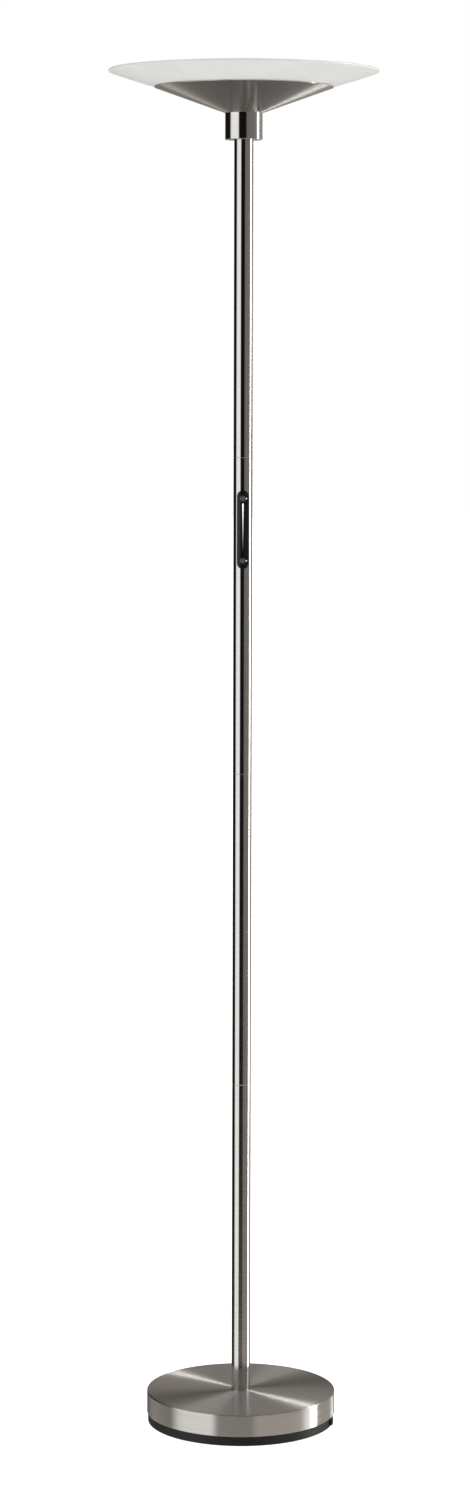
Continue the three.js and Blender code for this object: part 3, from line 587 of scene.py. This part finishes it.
# %% Pole tubes
for n in range(1, 5):
    name = f"pole_tube_{n}"
    bottom, top = low(name), high(name)
    wall = rounded([
        (TUBE_RADIUS - TUBE_WALL, bottom, 0.15 * MM), (TUBE_RADIUS, bottom, 0.35 * MM),
        (TUBE_RADIUS, top, 0.35 * MM), (TUBE_RADIUS - TUBE_WALL, top, 0.15 * MM),
    ])
    tube = turn(name + "_drawn", wall, 128)
    if n == 3:
        half = LENS_WIDTH / 2 + INLAY_GAP
        reach = [WINDOW_START, WINDOW_START, WINDOW_END, WINDOW_END]
        window = capsule("window", [0, half, half, 0], reach,
                         lens_length + 2 * INLAY_GAP, LENS_WIDTH + 2 * INLAY_GAP, flat=True)
        tube = carve(tube, [window])
    add_piece(name + "_drawn", tube, [name], pole_nickel)

# %% [markdown]
# ## Touch dimmer
# The lens is a strip of polished black acrylic, curved to carry on the tube's round front
# and let into the window with a hair's gap. Two light guides end flush with it, and the
# marks are ink, a few hundredths of a millimetre proud.

# %% Lens and light guides
EDGE, LENS_THICKNESS = 0.45 * MM, 2.1 * MM
GUIDE_START, BORE_START = 8 * MM, 2 * MM
half_width = LENS_WIDTH / 2
bend = np.linspace(0, np.pi / 2, 6)
front_m = np.linspace(0, half_width - EDGE, 10)
edge_m = half_width - EDGE + EDGE * np.sin(bend[1:])
edge_r = LENS_FACE - EDGE + EDGE * np.cos(bend[1:])
back = LENS_FACE - LENS_THICKNESS
across = [*front_m, *edge_m, half_width, *np.linspace(half_width, 0, 10)[1:]]
face = [LENS_FACE] * 10 + [*edge_r, back] + [back] * 9
lens = capsule("touch_lens_polished", across, face, lens_length, LENS_WIDTH)
guide_bores = []
for name in ("indicator_upper", "indicator_lower"):
    middle, size = middle_of(name), (high(name) - low(name)) / 2
    spot, depth = (middle.x, 0, middle.z), -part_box(name)[0].y
    guide = turn(name + "_guide", rounded([
        (0, GUIDE_START, 0), (size, GUIDE_START, 0.1 * MM), (size, depth - 0.2 * MM, 0.2 * MM),
        (0, depth, 0),
    ]), 48, closed=False)
    on_axis(guide, (0, -1, 0), spot)
    add_piece(name + "_guide", guide, [name], indicator_milk)
    guide_bores.append(rod(size + INLAY_GAP, BORE_START, WINDOW_END, spot, (0, -1, 0)))
lens = carve(lens, guide_bores)
add_piece("touch_lens_polished", lens, ["touch_lens"], lens_black, crease=50)

# %% Printed marks
INK_PROUD, INK_DEPTH = 0.03 * MM, 0.06 * MM


def printed(name, x, z, wrap=False):
    """A sheet of points (x, z) laid on the lens: y is minus the root of R^2 - x^2, with R
    a little over the lens's own radius, and the ink's thickness goes inwards."""
    ink_radius = LENS_FACE + INK_PROUD
    grid = np.stack([x, -np.sqrt(ink_radius ** 2 - x ** 2), z], axis=-1)
    return mesh_from_grid(name, grid, wrap, False, thickness=INK_DEPTH)


def ring_mark(name, z, inner, outer, start=0.0, end=360.0):
    """Radius from inner to outer, angle from start to end: x = r sin a, z = r cos a."""
    whole = end - start >= 360
    angle = np.radians(np.linspace(start, end, 65))[:64 if whole else 65, None]
    r = np.array([inner, (inner + outer) / 2, outer])[None, :]
    return printed(name, r * np.sin(angle), z + r * np.cos(angle), whole)


def bar_mark(name, z, length, width, tilt=0.0, offset=0.0):
    """A short straight stroke, from offset along a line tilted clockwise from upright."""
    along = np.linspace(offset, offset + length, 5)[:, None]
    side = np.linspace(-width / 2, width / 2, 4)[None, :]
    a = math.radians(tilt)
    return printed(name, along * math.sin(a) + side * math.cos(a),
                   z + along * math.cos(a) - side * math.sin(a))


def joined(name, meshes):
    """Several meshes as one."""
    work = bmesh.new()
    for mesh in meshes:
        work.from_mesh(mesh)
    whole = bpy.data.meshes.new(name)
    work.to_mesh(whole)
    work.free()
    return whole


RING, STROKE = 3.3 * MM, 0.28 * MM
SUN, RAY_FROM, RAY_LENGTH, RAY_WIDTH = 0.7 * MM, 1.25 * MM, 0.75 * MM, 0.3 * MM
ARC_INNER, ARC_OUTER = 1.2 * MM, 1.6 * MM
BAR_FROM, BAR_LENGTH, BAR_WIDTH = 0.35 * MM, 1.5 * MM, 0.4 * MM
upper_z, lower_z = middle_of("indicator_upper").z, middle_of("indicator_lower").z
marks = [ring_mark("ring", z, RING - STROKE, RING) for z in (upper_z, lower_z)]
marks.append(ring_mark("sun", upper_z, 0.0, SUN))
for tilt in range(0, 360, 45):
    marks.append(bar_mark("ray", upper_z, RAY_LENGTH, RAY_WIDTH, tilt, RAY_FROM))
marks.append(ring_mark("switch_arc", lower_z, ARC_INNER, ARC_OUTER, 40, 320))
marks.append(bar_mark("switch_bar", lower_z, BAR_LENGTH, BAR_WIDTH, 0, BAR_FROM))
add_piece("touch_marks", joined("touch_marks", marks), [], white_ink)


def wedge_sheet():
    """Height z runs down the wedge and u across it: x = u times half its width, which
    narrows evenly downwards, and follows a half circle at the rounded top."""
    z = np.linspace(WEDGE_BOTTOM, WEDGE_TOP, 90)[:, None]
    down = (WEDGE_TOP - z) / (WEDGE_TOP - WEDGE_BOTTOM)
    half = WEDGE_HALF * (1 - down) + WEDGE_TIP * down
    from_top = np.minimum(WEDGE_TOP - z, WEDGE_HALF)
    half = np.minimum(half, np.sqrt(WEDGE_HALF ** 2 - (WEDGE_HALF - from_top) ** 2))
    x = np.linspace(-1, 1, 5)[None, :] * np.maximum(half, 0.02 * MM)
    return printed("touch_wedge", x, z + 0 * x)


# The wedge is printed ink dressed in a painted glow.
add_piece("touch_wedge", wedge_sheet(), [], glowing_fading_ink)

# %% [markdown]
# ## Head
# A turned collar takes the pole's end. A spun cone is clamped on it, with a small curve
# where it leaves the collar and a thin rim. The opal dish lies in the cone, so that its
# face carries the cone's line on outwards, and it lifts straight out.

# %% Collar and cone
TUBE_FIT, COLLAR_WALL, COLLAR_WEB = 0.3 * MM, 2 * MM, 3.3 * MM
collar_low, collar_high = low("neck_collar"), high("neck_collar")
pole_top = high("pole_tube_4")
socket = TUBE_RADIUS + TUBE_FIT
collar = turn("neck_collar_turned", rounded([
    (socket, collar_low, 0.2 * MM), (COLLAR_RADIUS, collar_low, 0.8 * MM),
    (COLLAR_RADIUS, collar_high, 0.1 * MM), (COLLAR_RADIUS - COLLAR_WALL, collar_high, 0.0),
    (COLLAR_RADIUS - COLLAR_WALL, pole_top + COLLAR_WEB, 0.0),
    (PIPE_HOLE, pole_top + COLLAR_WEB, 0.0), (PIPE_HOLE, pole_top, 0.0),
    (socket, pole_top, 0.0),
]), 160)
add_piece("neck_collar_turned", collar, ["neck_collar"], pole_nickel)

CONE_RISE = 33 * MM
cone_floor = low("head_cone")
slope = math.atan2(CONE_RISE, CONE_RADIUS - COLLAR_RADIUS)
rim_r = CONE_RADIUS - SHEET * math.sin(slope)
rim_z = cone_floor + CONE_RISE + SHEET * math.cos(slope)
inner_corner = COLLAR_RADIUS - SHEET * math.tan(slope / 2)
cone = turn("head_cone_spun", rounded([
    (PIPE_HOLE, cone_floor, 0), (COLLAR_RADIUS, cone_floor, 5 * MM),
    (CONE_RADIUS, cone_floor + CONE_RISE, 0.35 * MM), (rim_r, rim_z, 0.35 * MM),
    (inner_corner, cone_floor + SHEET, 4 * MM), (PIPE_HOLE, cone_floor + SHEET, 0),
], steps=9), 320)
add_piece("head_cone_spun", cone, ["head_cone"], cone_nickel, crease=50)

# %% [markdown]
# ### Opal dish
# The real dish is a moulded acrylic bowl with a hole in its middle. A parabola gives its
# section in one formula, because it meets the flange, the cone's rim and the dish's own
# rim with no corner between them.

# %% Opal dish
DISH_THICKNESS = 3 * MM
DISH_HOLE = 59 * MM
DISH_FLANGE = 67 * MM
DISH_CLEAR, DISH_RISE = 1.35 * MM, 20.15 * MM  # over the cone's rim: at it, and at the dish's
DISH_POINTS = 44
HOLE_EDGE, RIM_EDGE = 0.8 * MM, 1.3 * MM


def dish_profile():
    """The lower face is a parabola through the flange's edge, a point just above the
    cone's rim and the dish's rim. The upper face is the lower one moved along its normal
    by the thickness."""
    start = np.array([DISH_FLANGE, low("opal_dish")])
    mid = np.array([CONE_RADIUS, cone_floor + CONE_RISE + DISH_CLEAR]) - start
    full = np.array([DISH_RADIUS, cone_floor + CONE_RISE + DISH_RISE]) - start
    bow = (full[1] / full[0] - mid[1] / mid[0]) / (full[0] - mid[0])
    lean = mid[1] / mid[0] - bow * mid[0]
    out = np.linspace(0, full[0], DISH_POINTS)
    face = start + np.stack([out, lean * out + bow * out ** 2], axis=-1)
    grade = lean + 2 * bow * out
    normal = np.stack([-grade, np.ones_like(grade)], axis=-1)
    normal /= np.linalg.norm(normal, axis=1, keepdims=True)
    upper = (face + normal * DISH_THICKNESS)[::-1]
    hole = np.array([[DISH_HOLE, start[1]], [DISH_HOLE, start[1] + DISH_THICKNESS]])
    loop = np.concatenate([hole[:1], face, upper, hole[1:]])
    size = np.zeros(len(loop))
    size[[0, -1]] = HOLE_EDGE
    size[[DISH_POINTS, DISH_POINTS + 1]] = RIM_EDGE
    return rounded(np.column_stack([loop, size]), steps=6)


dish = turn("opal_dish_cast", dish_profile(), 288)
add_piece("opal_dish_cast", dish, ["opal_dish"], opal_satin, crease=60, body="dish")

# %% [markdown]
# ### LED diffuser
# An opal cap stands on the aluminium plate and hides the LEDs. It is a short straight
# wall with a quarter of an ellipse on it, turned round the axis.

# %% LED diffuser
DIFFUSER_RADIUS, DIFFUSER_WALL, DIFFUSER_SKIRT = 57 * MM, 2 * MM, 5 * MM
plate_top, diffuser_high = high("heat_plate"), high("led_diffuser")
diffuser_inner = DIFFUSER_RADIUS - DIFFUSER_WALL


def dome(outer, start, top, count=24):
    """A quarter of an ellipse: r = R cos t, z = start + rise sin t."""
    t = np.linspace(0, np.pi / 2, count)
    return np.column_stack([outer * np.cos(t), start + (top - start) * np.sin(t)])


skirt = plate_top + DIFFUSER_SKIRT
outside = dome(DIFFUSER_RADIUS, skirt, diffuser_high)
inside = dome(diffuser_inner, skirt, diffuser_high - DIFFUSER_WALL)[::-1]
outside[-1, 0] = inside[0, 0] = 0.0
foot = [[diffuser_inner, plate_top], [DIFFUSER_RADIUS, plate_top]]
cap = np.concatenate([inside, foot, outside])
diffuser = turn("led_diffuser_moulded", cap, 160, closed=False)
add_piece("led_diffuser_moulded", diffuser, ["led_diffuser"], opal_diffuser, crease=50)

# %% [markdown]
# ## Pieces that keep their own meshes
# Nuts, washers, pipes, bushes, boards and leads are right as they are. Each only needs
# its finish, which goes into its material slots.

# %% Finishes for the carried pieces
FINISHES = {"zinc_steel": zinc, "cast_iron": cast_iron, "aluminium": plate_aluminium,
            "black_plastic": pan_black, "rubber": pad_rubber, "white_plastic": white_moulding,
            "circuit_board": green_board, "white_board": white_board,
            "lead_sheath": lead_sheath}
for entry in frame["record"]["subparts"]:
    kept = frame["nodes"][entry["node"]]
    if kept.hide_render:
        continue
    chosen = FINISHES[entry["material_slot"]]
    if not kept.material_slots:
        kept.data.materials.append(chosen)
    for place in kept.material_slots:
        place.material = chosen
print("carried pieces dressed")

# %% [markdown]
# ## Studio
# The floor is pale and plain. Brushed metal only looks like metal when it has bright and
# dark things to mirror, so the surroundings are painted as a studio: a wide soft box to
# the left, a narrow one to the right and a little behind, dim card between, and dark
# where the camera stands. Area lights give the soft, even light on the floor and dish.

# %% Floor
FLOOR_RADIUS = 30
floor_mesh = turn("floor", [(0, 0), (FLOOR_RADIUS, 0)], 96, closed=False)
floor = bpy.data.objects.new("floor", floor_mesh)
bpy.context.scene.collection.objects.link(floor)
floor_paint, node, into = finish("floor_paint", Roughness=0.9,
                                 Emission_Color=(1.0, 1.0, 1.0, 1.0))
into("Emission Strength", between(node, node("LightPath")["Is Camera Ray"], 0.44, 0.98))
into("Base Color", tint(node, noise(node, node("TexCoord")["Object"], 3.0), (0.84, 0.84, 0.84),
                        (0.86, 0.86, 0.86)))
floor_mesh.materials.append(floor_paint)
floor.visible_glossy = False
print("floor", 2 * FLOOR_RADIUS, "m across")

# %% Painted surroundings
CARD = (1.0, 0.93, 0.86)  # warm grey card
BOX = (1.0, 1.0, 0.985)  # soft box
AROUND = [  # degrees to the right of the camera, brightness from there on, and colour
    (-180, 0.30, CARD), (-150, 0.012, CARD), (-94, 0.010, CARD), (-82, 1.15, BOX),
    (-36, 1.20, BOX), (-28, 0.008, CARD), (13, 0.008, CARD), (20, 0.20, CARD),
    (78, 0.24, CARD), (84, 0.50, BOX), (96.5, 0.60, BOX), (97.5, 20.0, BOX),
    (102.5, 20.0, BOX), (103.5, 0.50, BOX), (112, 0.42, CARD), (180, 0.31, CARD),
]
FLOOR_AHEAD = [  # the same, where the floor begins
    (-180, 0.32, CARD), (-150, 1.00, CARD), (-96, 0.80, CARD), (-86, 0.40, BOX),
    (-76, 0.85, BOX), (-36, 0.95, BOX), (-30, 1.15, CARD), (13, 1.15, CARD),
    (20, 1.40, CARD), (80, 1.15, CARD), (98.5, 1.8, BOX), (101.5, 1.8, BOX),
    (106, 0.50, CARD), (154, 0.50, CARD), (157, 7.0, BOX), (161, 7.0, BOX),
    (164, 0.40, CARD), (180, 0.32, CARD),
]
UNDERFOOT = [  # the same, looking steeply down
    (-180, 0.12, CARD), (-98, 0.15, CARD), (-92, 0.34, BOX), (-34, 0.34, BOX),
    (-29, 0.14, CARD), (95, 0.15, CARD), (97, 4.0, BOX), (101, 4.0, BOX),
    (103, 0.2, BOX), (180, 0.12, CARD),
]
world = bpy.data.worlds.new("studio")
bpy.context.scene.world = world
world.use_nodes = True
tree = world.node_tree
tree.nodes.clear()
sky = node_maker(tree)
way = sky("SeparateXYZ", {0: sky("TexCoord")["Generated"]})
front = math_on(sky, "MULTIPLY", way[1], -1.0)
heading = math_on(sky, "ARCTAN2", way[0], front)
share = between(sky, heading, 0.0, 1.0, -math.pi, math.pi)


def band(levels):
    """A strip of brightness round the horizon, from a list of headings."""
    ramp = sky("ValToRGB", {0: share})[0]
    stops = ramp.node.color_ramp.elements
    while len(stops) < len(levels):
        stops.new(1.0)
    for stop, (degrees, level, colour) in zip(list(stops), levels):
        stop.position = (degrees + 180) / 360
        stop.color = (*[level * c for c in colour], 1)
    return ramp


def blended(first, second, slopes):
    """From the first to the second as the view tips from one slope to the other."""
    start, end = slopes
    tipped = sky("MapRange", {"Value": way[2], "From Min": start, "From Max": end},
                 interpolation_type="SMOOTHSTEP")[0]
    return sky("Mix", {0: tipped, 6: first, 7: second}, data_type="RGBA")[2]


# Where one band gives way to the next: -1 is straight down, 1 is straight up.
TO_FLOOR, TO_FEET, TO_CEILING = (-0.262, -0.36), (-0.41, -0.56), (0.45, 0.65)
CEILING, WHITE = (0.30, 0.29, 0.28, 1), (1.0, 1.0, 1.0, 1)
surroundings = blended(band(AROUND), band(FLOOR_AHEAD), TO_FLOOR)
surroundings = blended(surroundings, band(UNDERFOOT), TO_FEET)
surroundings = blended(surroundings, CEILING, TO_CEILING)
mirrored = sky("Background", {0: surroundings, 1: 1.0})[0]
seen = sky("Background", {0: WHITE, 1: 1.0})[0]
camera_ray = sky("LightPath")["Is Camera Ray"]
backdrop = sky("MixShader", {0: camera_ray, 1: mirrored, 2: seen})[0]
output = tree.nodes.new("ShaderNodeOutputWorld")
tree.links.new(backdrop, output.inputs["Surface"])
print(len(tree.nodes), "nodes paint the surroundings")

# %% Soft lights
LIGHTS = [  # name, place, target, size, watts
    ("left_light", (-2.9, -1.9, 1.3), (0, 0, 1.1), 2.2, 8),
    ("right_light", (2.9, -1.2, 1.2), (0, 0, 1.1), 2.0, 12),
    ("top_light", (0, -0.4, 3.6), (0, 0, 0), 3.4, 24),
]
for name, place, target, size, watts in LIGHTS:
    lamp = bpy.data.lights.new(name, "AREA")
    lamp.energy, lamp.size = watts, size
    holder = bpy.data.objects.new(name, lamp)
    bpy.context.scene.collection.objects.link(holder)
    aim = Vector(target) - Vector(place)
    holder.matrix_world = (Matrix.Translation(place)
                           @ aim.to_track_quat("-Z", "Y").to_matrix().to_4x4())
    holder.visible_glossy = False
    holder.visible_camera = False
bpy.context.scene.view_settings.view_transform = "Standard"
print(len(LIGHTS), "soft lights")
